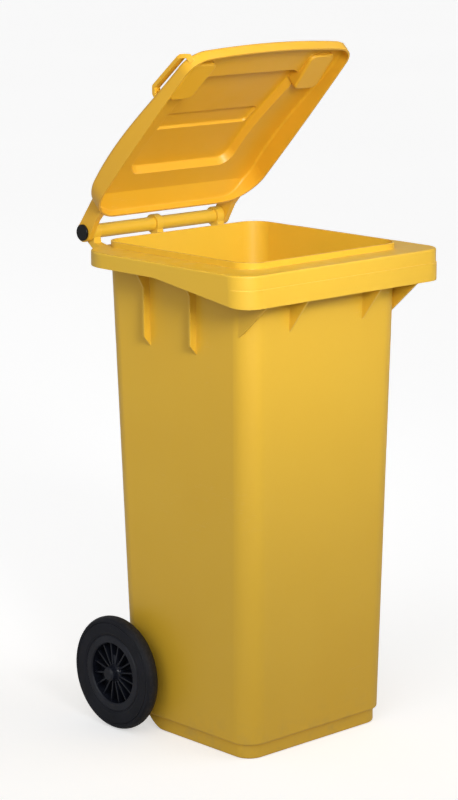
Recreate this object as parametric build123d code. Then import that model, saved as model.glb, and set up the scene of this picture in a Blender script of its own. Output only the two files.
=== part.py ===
from build123d import *
import os

# Two-wheeled household bin, 120 litre size, with a hinged lid that stands open.
# Millimetres. The origin is on the floor, under the middle of the rim.
# -Y is the front, +Y is the handle and wheel side, +Z is up, and +X is the right as seen from the front.

# ---- overall ----
RIM_WIDTH = 480.0          # width of the rim, the widest part
RIM_FRONT_Y = -251.5       # front face of the rim
RIM_REAR_Y = 176.0         # rear face of the rim
RIM_TOP_Z = 856.5          # flat top of the rim
RIM_CORNER_R = 40.0        # front corners
RIM_REAR_CORNER_R = 72.0
HINGE_Y = 236.5            # hinge and handle axis
HINGE_Z = 871.0
WHEEL_Y = 109.5            # wheel axis
WHEEL_R = 102.0            # outer radius of the tyre, which stands on the floor
WALL = 4.0                 # moulded wall of the container
BIG = 1000.0               # cutting blocks reach well past the part

# ---- container ----
LIP_TOP_Z = 867.0          # raised lip around the opening
LIP_HALF = 184.7           # half width, front and rear of the wall at the lip
LIP_FRONT_Y = -203.5
LIP_REAR_Y = 166.5
FOOT_HALF = 169.0          # the same at floor level, before the base step
FOOT_FRONT_Y = -188.5
FOOT_REAR_Y = 130.5
BODY_CORNER_R = 38.0
BASE_STEP_Z = 26.0         # height of the stepped-in base
BASE_STEP_IN = 6.0         # how far the base steps in
BASE_LEDGE_R = 4.0         # rounded ledge above the step
BASE_FOOT_R = 4.0          # rounded edge of the underside
FLOOR_THICK = 6.0
SKIRT_WALL = 4.0
SKIRT_LOW_Z = 801.5        # lower edge of the skirt at the front
SKIRT_HIGH_Z = 830.5       # lower edge of the skirt at the rear
SKIRT_TURN_Y = (-236.0, -32.0)   # between these the side skirt's edge climbs
COMB_STEP_Z = 832.8        # the front skirt is thicker below this line
COMB_STEP = 2.0
RIB_T = 4.0
FRONT_RIB_X = (87.0, 179.0)
FRONT_RIB_FOOT_Z = 742.0
SIDE_RIB_Y = (45.5, -71.5)
SIDE_RIB_OUT = 14.0
SIDE_RIB_Z = (698.0, 714.0, 800.0)   # tip, full depth, start of the flare

# ---- rear underside and axle carriers ----
REAR_FOOT_R = 70.0         # the floor curves up into the tunnel's front wall
REAR_FOOT_DIP = 2.0        # the curve runs this far below the floor, so it leaves it at an angle
TUNNEL_Y = 92.0            # front wall of the axle tunnel
TUNNEL_Z = 124.0           # roof of the axle tunnel
AXLE_R = 10.0
FIT = 0.05                 # radial running clearance
CARRIER_T = 8.0
CARRIER_X = (166.5, 60.0)  # middle planes of the four carriers
CARRIER_R = 20.0

# ---- hinge, handle tube and pins ----
TUBE_R = 12.5
PIN_R = 8.5
PIN_HEAD_R = 14.5
PIN_HEAD_T = 4.0
PIN_LENGTH = 38.0
EYE_R = 17.0
BRACKET_IN_X = 140.0
BRACKET_OUT_X = 156.0
BRACKET_NECK_Z = 848.0     # low point of a bracket's upper edge
BRACKET_FOOT_Z = 832.0
BRACKET_REACH = 44.0       # how far its foot reaches behind the rim
BRACKET_WALL = 4.5
MIDDLE_BRACKET_HALF = 7.0
ARM_IN_X = 157.0
ARM_OUT_X = 168.0

# ---- lid, drawn closed and measured from the hinge axis ----
LID_OPEN = 46.4            # degrees above closed in the rest pose
LID_WALL = 3.5
LID_EDGE_Z = -9.0          # lower edge of the skirt
LID_FRONT_HALF = 189.5
LID_REAR_HALF = 193.0
LID_REAR_Y = -48.0
LID_SIDE_FRONT_Y = -449.0  # front corners, before the front bows out
LID_FRONT_BOW = 13.0
LID_SIDE_BOW = 3.5
LID_FRONT_R = 42.0
LID_REAR_R = 68.0
LID_CREST = ((-80.0, 22.5), (-165.0, 31.0), (-262.0, 27.5), (-345.0, 19.5), (-470.0, 14.0))
LID_EDGE_R = 8.0
LID_REAR_WALL_Z = 1.0      # above this the rear wall slopes forward to the crest
LID_BEND_R = 7.0
PANEL_HALF = 133.0         # raised panel on top of the lid, at the foot of its slopes
PANEL_Y = (-108.0, -388.0)
PANEL_R = 40.0
PANEL_UP = 14.0
PANEL_SLANT = 20.0         # degrees
PANEL_BASE_Z = 5.0
PANEL_BLOCK_H = 90.0
PANEL_EDGE_R = 6.0
PANEL_INNER_EDGE_R = 4.0
BAND_HALF = 126.0          # cross band on the panel
BAND_Y = (-200.0, -276.0)
BAND_R = 26.0
BAND_UP = 5.0
CUP_REAR_X = (121.0, 175.0)      # finger cups beside the loop grips
CUP_FRONT_X = (110.0, 166.0)
CUP_Y = (-338.0, -424.0)
CUP_BOTTOM_Z = 3.0
CUP_R = 12.0
CUP_WALL = 2.5
CUP_BLOCK_H = 60.0
CUP_EDGE_R = 4.0
LOOP_X = (178.0, 190.5)
LOOP_Y = (-332.0, -441.0)
LOOP_T = 7.0
LOOP_TOP_Z = (36.0, 26.0)  # height of the bar at its rear and front ends
LOOP_SHOULDER = 11.0
LOOP_BEND_R = 6.0

# ---- wheels ----
TYRE_X = (193.0, 221.0)    # inner and outer faces
TYRE_CROWN_X = 208.5       # the tread is widest here
SHOULDER_DROP = (11.0, 5.5)
GROOVE_DEPTH = 1.5         # groove around the outer side wall
TYRE_IN_R = 69.0
DISH_R = 54.5              # radius of the spoked dish
DISH_FLOOR_X = 198.0
HUB_X = (172.8, 230.0)
HUB_END_R = 12.5
HUB_R = 17.0
SPOKES = 16
SPOKE_T = 2.6
AXLE_HALF = 222.0
GROOVE_X = 207.0
GROOVE_R = 8.0
GROOVE_W = 8.0
WASHER_R = 17.0
WASHER_T = 2.0
WASHER_GAP = 0.15
LOCK_R = 3.0
LOCK_FROM = 8.3            # nearest point to the wheel axis
LOCK_LENGTH = 12.0
LOCK_HOLE_TOP = 29.0
LOCK_BOSS_R = 6.5
LOCK_BOSS_TOP = 32.0
SPRING_WIRE_R = 0.45
SPRING_R = 2.1
SPRING_PITCH = 1.7

ALONG_X = Plane.YZ         # sketches on it are (y, z) and extrude along +X


def prism_x(face_points, x_from, x_to, round_r=0.0):
    """Extrude a closed (y, z) outline between two X planes, with all corners rounded."""
    sk = make_face(Polyline(*face_points, close=True))
    if round_r:
        sk = fillet(sk.vertices(), round_r)
    return extrude(ALONG_X.offset(x_from) * sk, x_to - x_from)


def cylinder_x(radius, x_from, x_to, y, z):
    """A cylinder along X."""
    return extrude(ALONG_X.offset(x_from) * Pos(y, z) * Circle(radius), x_to - x_from)


def rounded_section(half, front_y, rear_y, z, corner_r):
    """A horizontal rounded rectangle."""
    sk = RectangleRounded(2 * half, rear_y - front_y, corner_r)
    return Pos(0, (front_y + rear_y) / 2, z) * sk


def wall_at(z, inset):
    """Section of the tapered container wall at a height, moved in by an inset."""
    t = z / LIP_TOP_Z
    half = FOOT_HALF + (LIP_HALF - FOOT_HALF) * t - inset
    front = FOOT_FRONT_Y + (LIP_FRONT_Y - FOOT_FRONT_Y) * t + inset
    rear = FOOT_REAR_Y + (LIP_REAR_Y - FOOT_REAR_Y) * t - inset
    return rounded_section(half, front, rear, z, BODY_CORNER_R - inset)


def half_width_at(z):
    return FOOT_HALF + (LIP_HALF - FOOT_HALF) * z / LIP_TOP_Z


def front_at(z):
    return FOOT_FRONT_Y + (LIP_FRONT_Y - FOOT_FRONT_Y) * z / LIP_TOP_Z


def tub(inset, base_z, step_z, top_z):
    """The tapered tub with its stepped-in base, moved in by an inset."""
    upper = loft([wall_at(step_z, inset), wall_at(top_z, inset)], ruled=True)
    foot = rounded_section(FOOT_HALF - BASE_STEP_IN - inset, FOOT_FRONT_Y + BASE_STEP_IN + inset,
                           FOOT_REAR_Y - inset, base_z, BODY_CORNER_R - BASE_STEP_IN - inset)
    foot = extrude(foot, step_z - base_z + 0.01)
    if not inset:
        upper = fillet(upper.faces().sort_by(Axis.Z)[0].edges(), BASE_LEDGE_R)
        foot = fillet(foot.faces().sort_by(Axis.Z)[0].edges(), BASE_FOOT_R)
    return upper + foot


def under_cut(grow):
    """Everything below the curved rear floor and the axle tunnel."""
    wall_y = TUNNEL_Y - grow
    floor_y = TUNNEL_Y - REAR_FOOT_R
    start = (floor_y, grow - REAR_FOOT_DIP)
    bend = JernArc(start=start, tangent=(1, 0), radius=REAR_FOOT_R - grow, arc_size=90)
    sk = make_face([bend, Polyline(bend @ 1, (wall_y, TUNNEL_Z + grow), (BIG, TUNNEL_Z + grow), (BIG, -BIG),
                                   (floor_y, -BIG), start)])
    return extrude(ALONG_X.offset(-BIG) * sk, 2 * BIG)


def rim_outline(inset, forward=0.0):
    """The rim seen from above, with wider curves at its rear corners."""
    half = RIM_WIDTH / 2 - inset
    front = RIM_FRONT_Y + inset - forward
    rear = RIM_REAR_Y - inset - forward
    sk = Pos(0, (front + rear) / 2) * Rectangle(2 * half, rear - front)
    corners = sk.vertices().sort_by(Axis.Y)
    sk = fillet(corners[:2], RIM_CORNER_R - inset)
    corners = sk.vertices().filter_by(lambda v: v.Y > rear - 0.01)
    return fillet(corners, RIM_REAR_CORNER_R - inset)


def skirt():
    """The flat rim with its skirt, deep at the front and shallow at the rear."""
    outer = extrude(Pos(0, 0, SKIRT_LOW_Z) * rim_outline(0), RIM_TOP_Z - SKIRT_LOW_Z)
    outer = fillet(outer.faces().sort_by(Axis.Z)[-1].edges(), 3.0)
    comb = extrude(Pos(0, 0, SKIRT_LOW_Z) * rim_outline(0, COMB_STEP), COMB_STEP_Z - SKIRT_LOW_Z)
    comb = fillet(comb.faces().sort_by(Axis.Z)[-1].edges(), 1.2)
    hollow = extrude(Pos(0, 0, SKIRT_LOW_Z - 1) * rim_outline(SKIRT_WALL),
                     RIM_TOP_Z - WALL - SKIRT_LOW_Z + 1)
    y_low, y_high = SKIRT_TURN_Y
    below = make_face(Polyline((-BIG, SKIRT_LOW_Z), (y_low, SKIRT_LOW_Z), (y_high, SKIRT_HIGH_Z),
                               (BIG, SKIRT_HIGH_Z), (BIG, 0), (-BIG, 0), close=True))
    turns = below.vertices().filter_by(lambda v: abs(v.X) < 300 and v.Y > 100)
    below = fillet(turns, 160.0)
    return outer + comb - hollow - extrude(ALONG_X.offset(-BIG) * below, 2 * BIG)


def front_rib(x):
    """A triangular rib between the front wall and the skirt; the outer ones stand on the corners."""
    foot_z = FRONT_RIB_FOOT_Z
    past_flat = max(0.0, x - (half_width_at(foot_z) - BODY_CORNER_R))
    set_back = BODY_CORNER_R - (BODY_CORNER_R ** 2 - past_flat ** 2) ** 0.5
    foot_y = front_at(foot_z) + set_back + 0.5
    skirt_y = RIM_FRONT_Y + SKIRT_WALL - 1
    inside_y = foot_y + 25
    top_z = RIM_TOP_Z - WALL + 2
    return prism_x([(inside_y, foot_z), (foot_y, foot_z), (skirt_y, SKIRT_LOW_Z + 3),
                    (skirt_y, top_z), (inside_y, top_z)], x - RIB_T / 2, x + RIB_T / 2)


def side_rib(y, side):
    """A narrow upright rib on the side wall that flares out to the skirt."""
    tip, full, flare = SIDE_RIB_Z
    out = half_width_at(full) + SIDE_RIB_OUT
    inside = half_width_at(tip) - 2
    pts = [(inside, tip), (half_width_at(tip), tip), (out, full), (out + 1, flare),
           (out + 15, flare + 24), (RIM_WIDTH / 2 - 2, SKIRT_HIGH_Z + 6),
           (RIM_WIDTH / 2 - 2, RIM_TOP_Z - 2), (inside, RIM_TOP_Z - 2)]
    pts = [(side * px, pz) for px, pz in pts]
    sk = make_face(Polyline(*pts, close=True))
    return extrude(Plane.XZ.offset(-y - RIB_T / 2) * sk, RIB_T)


def axle_carrier(x):
    """A web under the rear floor with a hole for the axle."""
    web = prism_x([(TUNNEL_Y - 2, 76), (WHEEL_Y, WHEEL_R - CARRIER_R),
                   (WHEEL_Y + CARRIER_R, WHEEL_R), (WHEEL_Y + CARRIER_R, TUNNEL_Z + 2),
                   (TUNNEL_Y - 2, TUNNEL_Z + 2)], x - CARRIER_T / 2, x + CARRIER_T / 2)
    web += cylinder_x(CARRIER_R, x - CARRIER_T / 2, x + CARRIER_T / 2, WHEEL_Y, WHEEL_R)
    return web


def hinge_bracket(x_from, x_to):
    """An arm from the rear of the rim to an eye around the handle tube."""
    start = RIM_REAR_Y - SKIRT_WALL + 1
    outline = [(start, RIM_TOP_Z - 1), (RIM_REAR_Y + 6, RIM_TOP_Z - 3), (RIM_REAR_Y + 20, BRACKET_NECK_Z),
               (HINGE_Y - EYE_R + 1, BRACKET_NECK_Z + 5), (HINGE_Y - EYE_R + 4, HINGE_Z + 2),
               (HINGE_Y + EYE_R - 4, HINGE_Z + 2), (HINGE_Y + EYE_R - 2, HINGE_Z - 8),
               (RIM_REAR_Y + BRACKET_REACH, BRACKET_FOOT_Z + 6),
               (RIM_REAR_Y + BRACKET_REACH - 12, BRACKET_FOOT_Z), (start, BRACKET_FOOT_Z)]
    arm = prism_x(outline, x_from, x_to, 2.0)
    arm += cylinder_x(EYE_R, x_from, x_to, HINGE_Y, HINGE_Z)
    near_y = RIM_REAR_Y + BRACKET_WALL
    far_y = RIM_REAR_Y + BRACKET_REACH - 16
    top_z = BRACKET_NECK_Z - BRACKET_WALL
    relief = prism_x([(near_y, 0), (near_y, top_z), (far_y, top_z), (far_y, 0)],
                     x_from + BRACKET_WALL, x_to - BRACKET_WALL)
    return arm - relief


def container():
    """The moulded tub with rim, lip, ribs, hinge brackets and axle carriers in one piece."""
    body = tub(0, 0, BASE_STEP_Z, LIP_TOP_Z)
    cavity = tub(WALL, FLOOR_THICK, BASE_STEP_Z + WALL, LIP_TOP_Z + 20)
    body -= under_cut(0)
    cavity -= under_cut(WALL)
    body += skirt()
    for x in FRONT_RIB_X:
        body += front_rib(x)
        body += mirror(front_rib(x), Plane.YZ)
    for y in SIDE_RIB_Y:
        body += side_rib(y, 1)
        body += side_rib(y, -1)
    for x in CARRIER_X:
        body += axle_carrier(x)
        body += axle_carrier(-x)
    body += hinge_bracket(BRACKET_IN_X, BRACKET_OUT_X)
    body += hinge_bracket(-BRACKET_OUT_X, -BRACKET_IN_X)
    body += hinge_bracket(-MIDDLE_BRACKET_HALF, MIDDLE_BRACKET_HALF)
    body -= cavity
    body -= cylinder_x(AXLE_R + FIT, -BIG, BIG, WHEEL_Y, WHEEL_R)
    body -= cylinder_x(TUBE_R + FIT, -BIG, BIG, HINGE_Y, HINGE_Z)
    return body


def lid_plan(inset):
    """The closed lid seen from above, measured from the hinge axis."""
    fh = LID_FRONT_HALF - inset
    rh = LID_REAR_HALF - inset
    fy = LID_SIDE_FRONT_Y + inset
    ry = LID_REAR_Y - inset
    mid_x = (fh + rh) / 2 + LID_SIDE_BOW
    mid_y = (fy + ry) / 2
    front = ThreePointArc((-fh, fy), (0, fy - LID_FRONT_BOW), (fh, fy))
    right = ThreePointArc((fh, fy), (mid_x, mid_y), (rh, ry))
    rear = Line((rh, ry), (-rh, ry))
    left = ThreePointArc((-rh, ry), (-mid_x, mid_y), (-fh, fy))
    sk = make_face([front, right, rear, left])
    sk = fillet(sk.vertices().sort_by(Axis.Y)[:2], LID_FRONT_R - inset)
    return fillet(sk.vertices().filter_by(lambda v: v.Y > ry - 0.01), LID_REAR_R - inset)


def below_crest(drop):
    """The space under the lid's arched top, as a solid across the whole width."""
    pts = [(y, z - drop) for y, z in LID_CREST]
    rear_wall = (LID_REAR_Y + 4, LID_REAR_WALL_Z - drop)
    front_y = pts[-1][0]
    sk = make_face([Spline(*pts), Polyline(pts[-1], (front_y, -BIG), (rear_wall[0], -BIG),
                                           rear_wall, pts[0])])
    bend = sk.vertices().sort_by_distance(Vector(*pts[0]))[0]
    return extrude(ALONG_X.offset(-BIG) * fillet(bend, LID_BEND_R), 2 * BIG)


def round_top(solid, radius):
    """Round the edge between a solid's upper faces and its walls."""
    upper = solid.faces().filter_by(lambda f: f.normal_at(f.center()).Z > 0.5)
    edges = ShapeList([e for f in upper for e in f.edges()])
    loop = [e for e in edges if sum(e.is_same(other) for other in edges) == 1]
    return fillet(loop, radius)


def raised_block(half, y_range, corner_r, up, inset):
    """A raised panel with sloping sides that follows the lid's arch."""
    y_rear, y_front = y_range
    sk = RectangleRounded(2 * (half - inset), y_rear - y_front - 2 * inset, corner_r - inset)
    sk = Pos(0, (y_rear + y_front) / 2, PANEL_BASE_Z) * sk
    block = extrude(sk, PANEL_BLOCK_H, taper=PANEL_SLANT) & below_crest(inset - up)
    return round_top(block, PANEL_INNER_EDGE_R if inset else PANEL_EDGE_R)


def finger_cup(inset, side):
    """A cup sunk into the lid's top beside a loop grip."""
    rear_y, front_y = CUP_Y
    corners = [(x, rear_y) for x in CUP_REAR_X] + [(x, front_y) for x in reversed(CUP_FRONT_X)]
    sk = make_face(Polyline(*corners, close=True))
    sk = fillet(sk.vertices(), CUP_R)
    if inset:
        sk = offset(sk, -inset)
    block = extrude(Pos(0, 0, CUP_BOTTOM_Z + inset) * sk, CUP_BLOCK_H)
    block = fillet(block.faces().sort_by(Axis.Z)[0].edges(), CUP_EDGE_R)
    return block if side > 0 else mirror(block, Plane.YZ)


def loop_grip(side):
    """A flat bridge above the side edge of the lid, to lift it by."""
    rear_y, front_y = LOOP_Y
    rear_z, front_z = LOOP_TOP_Z
    slope = LOOP_SHOULDER
    arch = make_face(Polyline((rear_y, 0), (rear_y, rear_z - slope), (rear_y - slope, rear_z),
                              (front_y + slope, front_z), (front_y, front_z - slope), (front_y, 0),
                              close=True))
    arch = fillet(arch.vertices().filter_by(lambda v: v.Y > 10), LOOP_BEND_R)
    hole = offset(arch, -LOOP_T)
    hole += Pos((rear_y + front_y) / 2, 0) * Rectangle(rear_y - front_y - 2 * LOOP_T, 2 * LOOP_T + 2)
    bar = extrude(ALONG_X.offset(LOOP_X[0]) * (arch - hole), LOOP_X[1] - LOOP_X[0])
    bar &= extrude(Pos(0, 0, LID_EDGE_Z) * lid_plan(-1.0), BIG)
    return bar if side > 0 else mirror(bar, Plane.YZ)


def lid_arm(x_from, x_to):
    """A hinge arm from the rear corner of the lid to an eye on the hinge axis."""
    arm = prism_x([(-84, LID_EDGE_Z + 1), (-40, LID_EDGE_Z + 1), (-6, -15.9), (6, 15.5),
                   (-60, 24), (-84, 25)], x_from, x_to)
    return arm + cylinder_x(EYE_R, x_from, x_to, 0, 0)


def lid_pan(inset):
    """The lid's plain arched pan, moved in by an inset."""
    plan = Pos(0, 0, LID_EDGE_Z - inset) * lid_plan(inset)
    return round_top(extrude(plan, PANEL_BLOCK_H) & below_crest(inset), LID_EDGE_R - inset)


def lid_closed():
    """The lid in its closed place, with the hinge axis on the X axis."""
    raised = ((PANEL_HALF, PANEL_Y, PANEL_R, PANEL_UP), (BAND_HALF, BAND_Y, BAND_R, PANEL_UP + BAND_UP))
    body = lid_pan(0)
    hollow = lid_pan(LID_WALL)
    for half, y_range, corner_r, up in raised:
        body += raised_block(half, y_range, corner_r, up, 0)
    body += lid_arm(ARM_IN_X, ARM_OUT_X)
    body += lid_arm(-ARM_OUT_X, -ARM_IN_X)
    for side in (-1, 1):
        body += loop_grip(side)
    for half, y_range, corner_r, up in raised:
        hollow += raised_block(half, y_range, corner_r, up, LID_WALL)
    for side in (-1, 1):
        hollow -= finger_cup(0, side)
    body -= hollow
    for side in (-1, 1):
        body -= finger_cup(CUP_WALL, side)
    return body - cylinder_x(PIN_R + FIT, -BIG, BIG, 0, 0)


def lid():
    """The lid standing open."""
    return Pos(0, HINGE_Y, HINGE_Z) * Rot(-LID_OPEN, 0, 0) * lid_closed()


def handle_tube():
    """The tube between the brackets: the handle, and the housing of both hinge pins."""
    tube = cylinder_x(TUBE_R, -BRACKET_OUT_X, BRACKET_OUT_X, HINGE_Y, HINGE_Z)
    return tube - cylinder_x(PIN_R + FIT, -BIG, BIG, HINGE_Y, HINGE_Z)


def hinge_pin(side):
    """A pin with a flat round head, pushed through the lid's eye into the tube."""
    end = ARM_OUT_X + 0.2
    pin = cylinder_x(PIN_R, end - PIN_LENGTH, end + 1, HINGE_Y, HINGE_Z)
    head = cylinder_x(PIN_HEAD_R, end, end + PIN_HEAD_T, HINGE_Y, HINGE_Z)
    head = fillet(head.edges().sort_by(Axis.X)[-1], 1.5)
    pin = chamfer(pin.edges().sort_by(Axis.X)[0], 1.5) + head
    return pin if side > 0 else mirror(pin, Plane.YZ)


def axle():
    """A solid steel axle with a locking groove near each end."""
    bar = cylinder_x(AXLE_R, -AXLE_HALF, AXLE_HALF, WHEEL_Y, WHEEL_R)
    bar = chamfer(bar.edges().filter_by(GeomType.CIRCLE), 1.5)
    for side in (-1, 1):
        x = side * GROOVE_X
        ring = cylinder_x(AXLE_R + 1, x - GROOVE_W / 2, x + GROOVE_W / 2, WHEEL_Y, WHEEL_R)
        ring -= cylinder_x(GROOVE_R, x - GROOVE_W, x + GROOVE_W, WHEEL_Y, WHEEL_R)
        bar -= ring
    return bar


def washer(side):
    """A plain plastic washer between the outer carrier and the wheel hub."""
    x = CARRIER_X[0] + CARRIER_T / 2 + WASHER_GAP
    ring = cylinder_x(WASHER_R, x, x + WASHER_T, WHEEL_Y, WHEEL_R)
    ring -= cylinder_x(AXLE_R + FIT, x - 1, x + WASHER_T + 1, WHEEL_Y, WHEEL_R)
    return ring if side > 0 else mirror(ring, Plane.YZ)


def turned(profile):
    """Revolve an (x, r) outline about the wheel axis of the right wheel."""
    face = make_face(Polyline(*profile, close=True))
    solid = revolve(face, Axis.X, 360)
    return Pos(0, WHEEL_Y, WHEEL_R) * solid


def wheel_rim(side):
    """The moulded wheel centre: ring, dish, thin spokes and a hub closed at its outer end."""
    x_in, x_out = TYRE_X
    hub_in, hub_out = HUB_X
    ring = turned([(x_in + 1, TYRE_IN_R), (x_out - 2.5, TYRE_IN_R), (x_out - 1, TYRE_IN_R - 2),
                   (x_out - 1, DISH_R + 2), (x_out - 3, DISH_R), (x_in + 3, DISH_R),
                   (x_in + 1, DISH_R + 2)])
    dish = turned([(DISH_FLOOR_X - 3, HUB_R - 2), (DISH_FLOOR_X, HUB_R - 2),
                   (DISH_FLOOR_X, DISH_R + 1), (DISH_FLOOR_X - 3, DISH_R + 1)])
    hub = turned([(hub_in, 0), (hub_in, HUB_R), (x_out - 9, HUB_R), (x_out - 3, HUB_END_R + 1.5),
                  (hub_out - 3, HUB_END_R), (hub_out, HUB_END_R - 3), (hub_out, 0)])
    body = ring + dish + hub
    spoke_pts = [(DISH_FLOOR_X - 1, HUB_R - 3), (x_out - 6, HUB_R - 3), (x_out - 8, DISH_R + 1),
                 (DISH_FLOOR_X - 1, DISH_R + 1)]
    spoke = extrude(make_face(Polyline(*spoke_pts, close=True)), SPOKE_T / 2, both=True)
    for i in range(SPOKES):
        body += Pos(0, WHEEL_Y, WHEEL_R) * Rot(360.0 * (i + 0.5) / SPOKES, 0, 0) * spoke
    boss = Cylinder(LOCK_BOSS_R, LOCK_BOSS_TOP - HUB_R + 2, align=(Align.CENTER, Align.CENTER, Align.MIN))
    body += Pos(GROOVE_X, WHEEL_Y, WHEEL_R + HUB_R - 2) * boss
    hole = Cylinder(LOCK_R + FIT, LOCK_HOLE_TOP, align=(Align.CENTER, Align.CENTER, Align.MIN))
    body -= Pos(GROOVE_X, WHEEL_Y, WHEEL_R) * hole
    body -= cylinder_x(AXLE_R + FIT, hub_in - 1, AXLE_HALF + 1, WHEEL_Y, WHEEL_R)
    return body if side > 0 else mirror(body, Plane.YZ)


def tyre(side):
    """A solid rubber tyre with rounded shoulders and a groove in each side wall."""
    x_in, x_out = TYRE_X
    r = WHEEL_R
    crown = ThreePointArc((x_in, r - SHOULDER_DROP[0]), (TYRE_CROWN_X, r), (x_out, r - SHOULDER_DROP[1]))
    sides = Polyline(crown @ 1, (x_out, r - 9), (x_out - GROOVE_DEPTH, r - 10.5), (x_out, r - 12),
                     (x_out, TYRE_IN_R + 5), (x_out - 2.5, TYRE_IN_R), (x_in, TYRE_IN_R), crown @ 0)
    ring = Pos(0, WHEEL_Y, WHEEL_R) * revolve(make_face([crown, sides]), Axis.X, 360)
    return ring if side > 0 else mirror(ring, Plane.YZ)


def lock_pin(side):
    """A small pin in the hub that drops into the groove of the axle and keeps the wheel on."""
    pin = Cylinder(LOCK_R, LOCK_LENGTH, align=(Align.CENTER, Align.CENTER, Align.MIN))
    pin = chamfer(pin.edges().sort_by(Axis.Z)[0], 1.2)
    return Pos(side * GROOVE_X, WHEEL_Y, WHEEL_R + LOCK_FROM) * pin


def lock_spring(side):
    """The small coil spring behind a lock pin."""
    low = LOCK_FROM + LOCK_LENGTH + SPRING_WIRE_R
    height = LOCK_HOLE_TOP - low - SPRING_WIRE_R
    path = Helix(SPRING_PITCH, height, SPRING_R)
    wire = sweep(Plane(path @ 0, z_dir=path % 0) * Circle(SPRING_WIRE_R), path=path, is_frenet=True)
    return Pos(side * GROOVE_X, WHEEL_Y, WHEEL_R + low) * wire


NODES = {
    "container": container,
    "lid": lid,
    "handle_tube": handle_tube,
    "axle": axle,
}
PAIRED_NODES = {
    "hinge_pin": hinge_pin,
    "axle_washer": washer,
    "wheel_rim": wheel_rim,
    "tyre": tyre,
    "lock_pin": lock_pin,
    "lock_spring": lock_spring,
}

os.makedirs("parts", exist_ok=True)
for name, build in NODES.items():
    export_step(build(), "parts/" + name + ".step")
for name, build in PAIRED_NODES.items():
    export_step(build(-1), "parts/" + name + "_left.step")
    export_step(build(1), "parts/" + name + "_right.step")
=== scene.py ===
import math
import bmesh
import bpy
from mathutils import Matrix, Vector


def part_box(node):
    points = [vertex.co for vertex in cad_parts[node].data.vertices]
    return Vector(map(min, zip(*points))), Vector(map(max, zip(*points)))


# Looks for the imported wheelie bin: materials, studio and camera.
# Metres, in the frame of the CAD part: -Y is the front, +Y the handle side, +Z up.

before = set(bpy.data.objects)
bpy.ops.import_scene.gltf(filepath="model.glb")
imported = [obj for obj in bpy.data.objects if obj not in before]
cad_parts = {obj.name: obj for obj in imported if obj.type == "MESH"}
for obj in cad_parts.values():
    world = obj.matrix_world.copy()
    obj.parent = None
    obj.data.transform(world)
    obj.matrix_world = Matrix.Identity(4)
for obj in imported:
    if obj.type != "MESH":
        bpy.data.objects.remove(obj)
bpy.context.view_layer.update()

# Each finish drifts between its main colour and a second one.
BODY_YELLOW, BODY_DEEP = (0.745, 0.452, 0.033, 1), (0.715, 0.415, 0.025, 1)
LID_YELLOW, LID_DEEP = (0.760, 0.408, 0.023, 1), (0.730, 0.378, 0.018, 1)
PIN_BLACK, PIN_GREY = (0.003, 0.003, 0.004, 1), (0.006, 0.006, 0.008, 1)
WASHER_BLACK, WASHER_GREY = (0.008, 0.008, 0.009, 1), (0.014, 0.014, 0.016, 1)
WHEEL_BLACK, WHEEL_GREY = (0.006, 0.007, 0.012, 1), (0.011, 0.013, 0.021, 1)
RUBBER_BLACK, RUBBER_GREY = (0.005, 0.006, 0.010, 1), (0.009, 0.010, 0.016, 1)
TREAD_DUST = (0.055, 0.050, 0.046, 1)
SPLASHED_DIRT = (0.33, 0.25, 0.13, 1)
SETTLED_DUST = (0.70, 0.62, 0.44, 1)
SPLASH_HEIGHT = 0.09
RING_PITCH = 2600.0         # radians per metre, so the tyre's rings are 2.4 mm apart
FLOOR_RADIUS = 60.0
FLOOR_LIFT = 0.52           # how far the floor is lifted towards white as seen by the camera
VIEW_TURN, VIEW_TILT = -43.03, 12.07


# ---------------------------------------------------------------- material helpers

class Graph:
    """A short way to build a node material: each call makes a node and wires it up."""

    def __init__(self, name):
        self.material = bpy.data.materials.new(name)
        self.material.use_nodes = True
        self.tree = self.material.node_tree
        self.shader = self.tree.nodes["Principled BSDF"]

    def node(self, kind, inputs=None, **settings):
        made = self.tree.nodes.new("ShaderNode" + kind)
        for key, value in settings.items():
            setattr(made, key, value)
        for key, value in (inputs or {}).items():
            self.put(made.inputs[key], value)
        return made

    def put(self, socket, value):
        if isinstance(value, bpy.types.NodeSocket):
            self.tree.links.new(value, socket)
        else:
            socket.default_value = value

    def math(self, operation, a, b=0.0):
        return self.node("Math", {0: a, 1: b}, operation=operation).outputs[0]

    def place(self, stretch=(1, 1, 1)):
        """Object coordinates in metres, stretched."""
        where = self.node("TexCoord").outputs["Object"]
        return self.node("Mapping", {"Vector": where, "Scale": stretch}).outputs[0]

    def noise(self, scale, detail=3.0, rough=0.5, stretch=(1, 1, 1), distort=0.0):
        return self.node("TexNoise", {"Vector": self.place(stretch), "Scale": scale, "Detail": detail,
                                      "Roughness": rough, "Distortion": distort}).outputs["Fac"]

    def ramp(self, value, low, high, to_low=0.0, to_high=1.0):
        """A smooth step from one value to another."""
        return self.node("MapRange", {"Value": value, "From Min": low, "From Max": high,
                                      "To Min": to_low, "To Max": to_high},
                         interpolation_type="SMOOTHSTEP").outputs[0]

    def mix(self, amount, a, b):
        """A colour mix."""
        made = self.node("Mix", data_type="RGBA")
        for socket, value in ((0, amount), (6, a), (7, b)):
            self.put(made.inputs[socket], value)
        return made.outputs[2]

    def bump(self, height, distance, strength=1.0, normal=None):
        made = self.node("Bump", {"Height": height, "Distance": distance, "Strength": strength})
        if normal is not None:
            self.put(made.inputs["Normal"], normal)
        return made.outputs[0]

    def edges(self, radius):
        """0 on flat faces, rising to 1 on convex and concave edges, and the softened normal."""
        soft = self.node("Bevel", {"Radius": radius}, samples=4).outputs[0]
        true = self.node("NewGeometry").outputs["Normal"]
        dot = self.node("VectorMath", {0: soft, 1: true}, operation="DOT_PRODUCT").outputs["Value"]
        return self.ramp(dot, 1.0, 0.90), soft

    def set(self, **values):
        for key, value in values.items():
            self.put(self.shader.inputs[key.replace("_", " ")], value)
        return self.material


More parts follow.
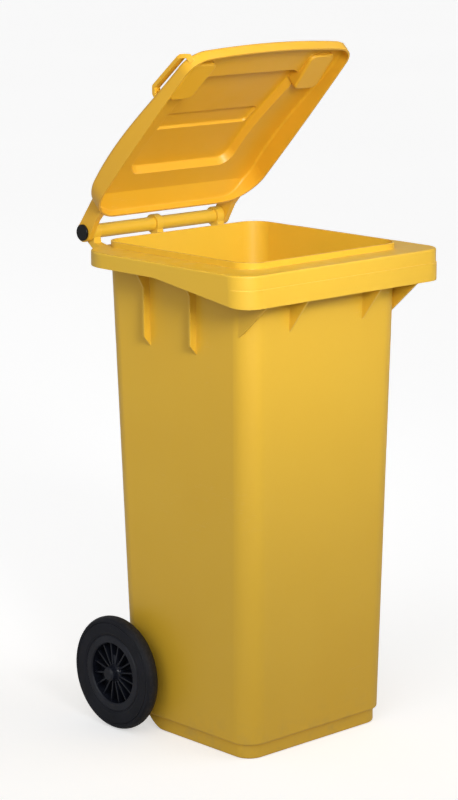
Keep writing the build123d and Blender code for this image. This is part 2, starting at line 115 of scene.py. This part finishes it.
def yellow_plastic(name, colour, deep, grain=0.00010):
    """Moulded polyethylene: slight colour drift, a fine pebble grain, flow lines, scuffs, dust, and
    paler edges that are a painted highlight.
    """
    g = Graph(name)
    edge, soft = g.edges(0.0011)
    drift = g.ramp(g.noise(3.1, 2.0), 0.35, 0.68)
    flow = g.noise(9.0, 3.0, stretch=(1, 1, 0.16), distort=0.4)
    body = g.mix(g.math("MULTIPLY", drift, 0.55), colour, deep)
    body = g.mix(g.ramp(flow, 0.52, 0.72, 0.0, 0.16), body, deep)
    pale = tuple(min(1.0, c * 0.72 + 0.26) for c in colour[:3]) + (1,)
    scratch_field = g.noise(38.0, 4.0, 0.62, stretch=(1, 1, 7), distort=1.4)
    patches = g.ramp(g.noise(4.3, 1.0), 0.56, 0.70)
    scuff = g.math("MULTIPLY", g.ramp(scratch_field, 0.615, 0.66), patches)
    body = g.mix(g.math("MULTIPLY", scuff, 0.13), body, pale)
    # Painted highlight: convex and concave edges are mixed towards the pale colour.
    body = g.mix(g.math("MULTIPLY", edge, 0.16), body, pale)
    height = g.node("SeparateXYZ", {0: g.node("NewGeometry").outputs["Position"]}).outputs["Z"]
    spots = g.ramp(g.noise(26.0, 5.0, 0.65), 0.45, 0.72)
    splash = g.math("MULTIPLY", g.ramp(height, SPLASH_HEIGHT, 0.0), spots)
    body = g.mix(g.math("MULTIPLY", splash, 0.22), body, SPLASHED_DIRT)
    facing = g.node("SeparateXYZ", {0: g.node("NewGeometry").outputs["Normal"]}).outputs["Z"]
    dust = g.math("MULTIPLY", g.ramp(facing, 0.6, 0.95), g.ramp(g.noise(55.0, 4.0, 0.6), 0.42, 0.7))
    body = g.mix(g.math("MULTIPLY", dust, 0.10), body, SETTLED_DUST)
    pebble = g.math("ADD", g.noise(620.0, 2.0, 0.55), g.math("MULTIPLY", g.noise(190.0, 2.0), 0.55))
    normal = g.bump(pebble, grain, 0.55, soft)
    normal = g.bump(g.noise(5.5, 2.0, stretch=(1, 1, 0.5)), 0.0022, 0.35, normal)
    gloss = g.ramp(g.noise(14.0, 4.0, 0.6), 0.3, 0.75, 0.36, 0.47)
    gloss = g.math("ADD", gloss, g.math("MULTIPLY", g.math("ADD", scuff, splash), 0.14))
    return g.set(Base_Color=body, Roughness=gloss, Normal=normal, IOR=1.5)


def black_plastic(name, colour, lift, rough=0.42):
    """Moulded black plastic with a fine grain and paler edges, a painted highlight."""
    g = Graph(name)
    edge, soft = g.edges(0.0008)
    body = g.mix(g.ramp(g.noise(24.0, 4.0, 0.6), 0.35, 0.7), colour, lift)
    # Painted highlight: the edges are lightened towards a paler grey.
    body = g.mix(g.math("MULTIPLY", edge, 0.45), body, tuple(c * 2.2 for c in lift[:3]) + (1,))
    dust = g.ramp(g.noise(70.0, 5.0, 0.65), 0.55, 0.78)
    body = g.mix(g.math("MULTIPLY", dust, 0.03), body, (0.30, 0.28, 0.25, 1))
    normal = g.bump(g.noise(900.0, 2.0), 0.00006, 0.6, soft)
    gloss = g.ramp(g.noise(40.0, 3.0), 0.3, 0.7, rough - 0.06, rough + 0.08)
    return g.set(Base_Color=body, Roughness=gloss, Normal=normal, IOR=1.36)


def rubber(name, centre_y, centre_z, outer):
    """Solid tyre rubber: matt, with moulding rings on the side wall, pale dust on the tread and a
    painted highlight on the edges.
    """
    g = Graph(name)
    edge, soft = g.edges(0.0010)
    parts = g.node("SeparateXYZ", {0: g.node("TexCoord").outputs["Object"]})
    dy = g.math("SUBTRACT", parts.outputs["Y"], centre_y)
    dz = g.math("SUBTRACT", parts.outputs["Z"], centre_z)
    radius = g.math("SQRT", g.math("ADD", g.math("MULTIPLY", dy, dy), g.math("MULTIPLY", dz, dz)))
    body = g.mix(g.ramp(g.noise(30.0, 4.0, 0.6), 0.35, 0.7), RUBBER_BLACK, RUBBER_GREY)
    tread = g.ramp(radius, outer - 0.004, outer - 0.0005)
    grit = g.ramp(g.noise(240.0, 4.0, 0.7), 0.46, 0.66)
    dusty = g.math("MULTIPLY", tread, g.math("ADD", g.math("MULTIPLY", grit, 0.30), 0.10))
    body = g.mix(dusty, body, TREAD_DUST)
    # Painted highlight: the tyre's edges are lightened towards grey.
    body = g.mix(g.math("MULTIPLY", edge, 0.18), body, (0.07, 0.07, 0.08, 1))
    rings = g.math("SINE", g.math("MULTIPLY", radius, RING_PITCH))
    normal = g.bump(rings, 0.00004, 0.5, soft)
    normal = g.bump(g.noise(500.0, 3.0, 0.6), 0.00012, 0.6, normal)
    gloss = g.ramp(g.noise(60.0, 3.0), 0.3, 0.7, 0.52, 0.66)
    return g.set(Base_Color=body, Roughness=gloss, Normal=normal, IOR=1.32)


def zinc_steel(name):
    """Bright zinc-plated steel, drawn along its length."""
    g = Graph(name)
    body = g.mix(g.noise(60.0, 4.0), (0.50, 0.50, 0.52, 1), (0.68, 0.68, 0.67, 1))
    normal = g.bump(g.noise(900.0, 2.0, stretch=(0.02, 1, 1)), 0.00003, 0.5)
    gloss = g.ramp(g.noise(120.0, 3.0), 0.3, 0.7, 0.24, 0.38)
    return g.set(Base_Color=body, Metallic=1.0, Roughness=gloss, Normal=normal)


def plain_floor():
    """Pale, evenly matt studio floor, lifted to near white as a separately lit backdrop is."""
    g = Graph("studio_floor")
    tone = g.mix(g.noise(0.6, 2.0), (0.74, 0.74, 0.74, 1), (0.77, 0.77, 0.77, 1))
    seen = g.node("LightPath").outputs["Is Camera Ray"]
    return g.set(Base_Color=tone, Roughness=0.9, Emission_Color=(1, 1, 1, 1),
                 Emission_Strength=g.math("MULTIPLY", seen, FLOOR_LIFT))


# ---------------------------------------------------------------- finishes of the CAD nodes

def dress(material, *names):
    """Give CAD nodes a finish."""
    for name in names:
        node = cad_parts[name]
        node.data.materials.clear()
        node.data.materials.append(material)


def both(stem):
    return stem + "_left", stem + "_right"


tyre_low, tyre_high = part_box("tyre_left")
wheel_centre = (tyre_low + tyre_high) / 2
wheel_radius = (tyre_high.z - tyre_low.z) / 2

dress(yellow_plastic("yellow_body", BODY_YELLOW, BODY_DEEP), "container", "handle_tube")
dress(yellow_plastic("yellow_lid", LID_YELLOW, LID_DEEP), "lid")
dress(black_plastic("pin_plastic", PIN_BLACK, PIN_GREY, 0.34), *both("hinge_pin"))
dress(black_plastic("washer_plastic", WASHER_BLACK, WASHER_GREY), *both("axle_washer"))
dress(black_plastic("wheel_plastic", WHEEL_BLACK, WHEEL_GREY, 0.36), *both("wheel_rim"))
dress(rubber("tyre_rubber", wheel_centre.y, wheel_centre.z, wheel_radius), *both("tyre"))
dress(zinc_steel("zinc_steel"), "axle", *both("lock_pin"), *both("lock_spring"))


# ---------------------------------------------------------------- studio

def lamp(name, data, place, aim):
    holder = bpy.data.objects.new(name, data)
    holder.location = place
    holder.rotation_euler = (Vector(aim) - Vector(place)).to_track_quat("-Z", "Y").to_euler()
    bpy.context.collection.objects.link(holder)


def soft_panel(name, place, aim, size, power, grid=180):
    """A round soft box; grid is the angle its light is held to."""
    data = bpy.data.lights.new(name, "AREA")
    data.shape = "DISK"
    data.size = size
    data.energy = power
    data.spread = math.radians(grid)
    lamp(name, data, place, aim)


def broad_light(name, place, aim, spread, strength):
    """Even light from one side of the room, with soft shadows."""
    data = bpy.data.lights.new(name, "SUN")
    data.angle = math.radians(spread)
    data.energy = strength
    lamp(name, data, place, aim)


def studio():
    """A wide pale floor, a bright even surround and four soft lamps."""
    mesh = bpy.data.meshes.new("floor")
    shape = bmesh.new()
    bmesh.ops.create_circle(shape, cap_ends=True, segments=96, radius=FLOOR_RADIUS)
    shape.to_mesh(mesh)
    shape.free()
    floor = bpy.data.objects.new("floor", mesh)
    bpy.context.collection.objects.link(floor)
    mesh.materials.append(plain_floor())
    world = bpy.data.worlds.new("surround")
    world.use_nodes = True
    sky = world.node_tree.nodes["Background"]
    sky.inputs["Color"].default_value = (1.0, 1.0, 1.0, 1)
    sky.inputs["Strength"].default_value = 0.34
    bpy.context.scene.world = world
    middle = (0, 0, 0.5)
    broad_light("front_right", (1.9, -2.4, 2.9), middle, 50, 0.36)
    broad_light("front_left", (-2.8, -1.5, 2.6), middle, 60, 0.86)
    soft_panel("overhead", (0.7, -1.5, 2.7), (0, -0.1, 0.8), 1.6, 4)
    soft_panel("into_the_opening", (-0.9, -2.0, 1.75), (0, 0.05, 1.03), 0.9, 3.9, 42)
    bpy.context.scene.view_settings.view_transform = "Standard"


def camera():
    """A long lens at the front left, looking slightly down."""
    data = bpy.data.cameras.new("camera")
    data.sensor_width = 36.0
    data.lens = 118.1
    data.shift_x = 0.0023
    data.shift_y = 0.0025
    data.clip_end = 200.0
    eye = bpy.data.objects.new("camera", data)
    eye.location = (-3.1043, -3.2799, 1.5444)
    eye.rotation_euler = (math.radians(90 - VIEW_TILT), 0, math.radians(VIEW_TURN))
    bpy.context.collection.objects.link(eye)
    bpy.context.scene.camera = eye


studio()
camera()
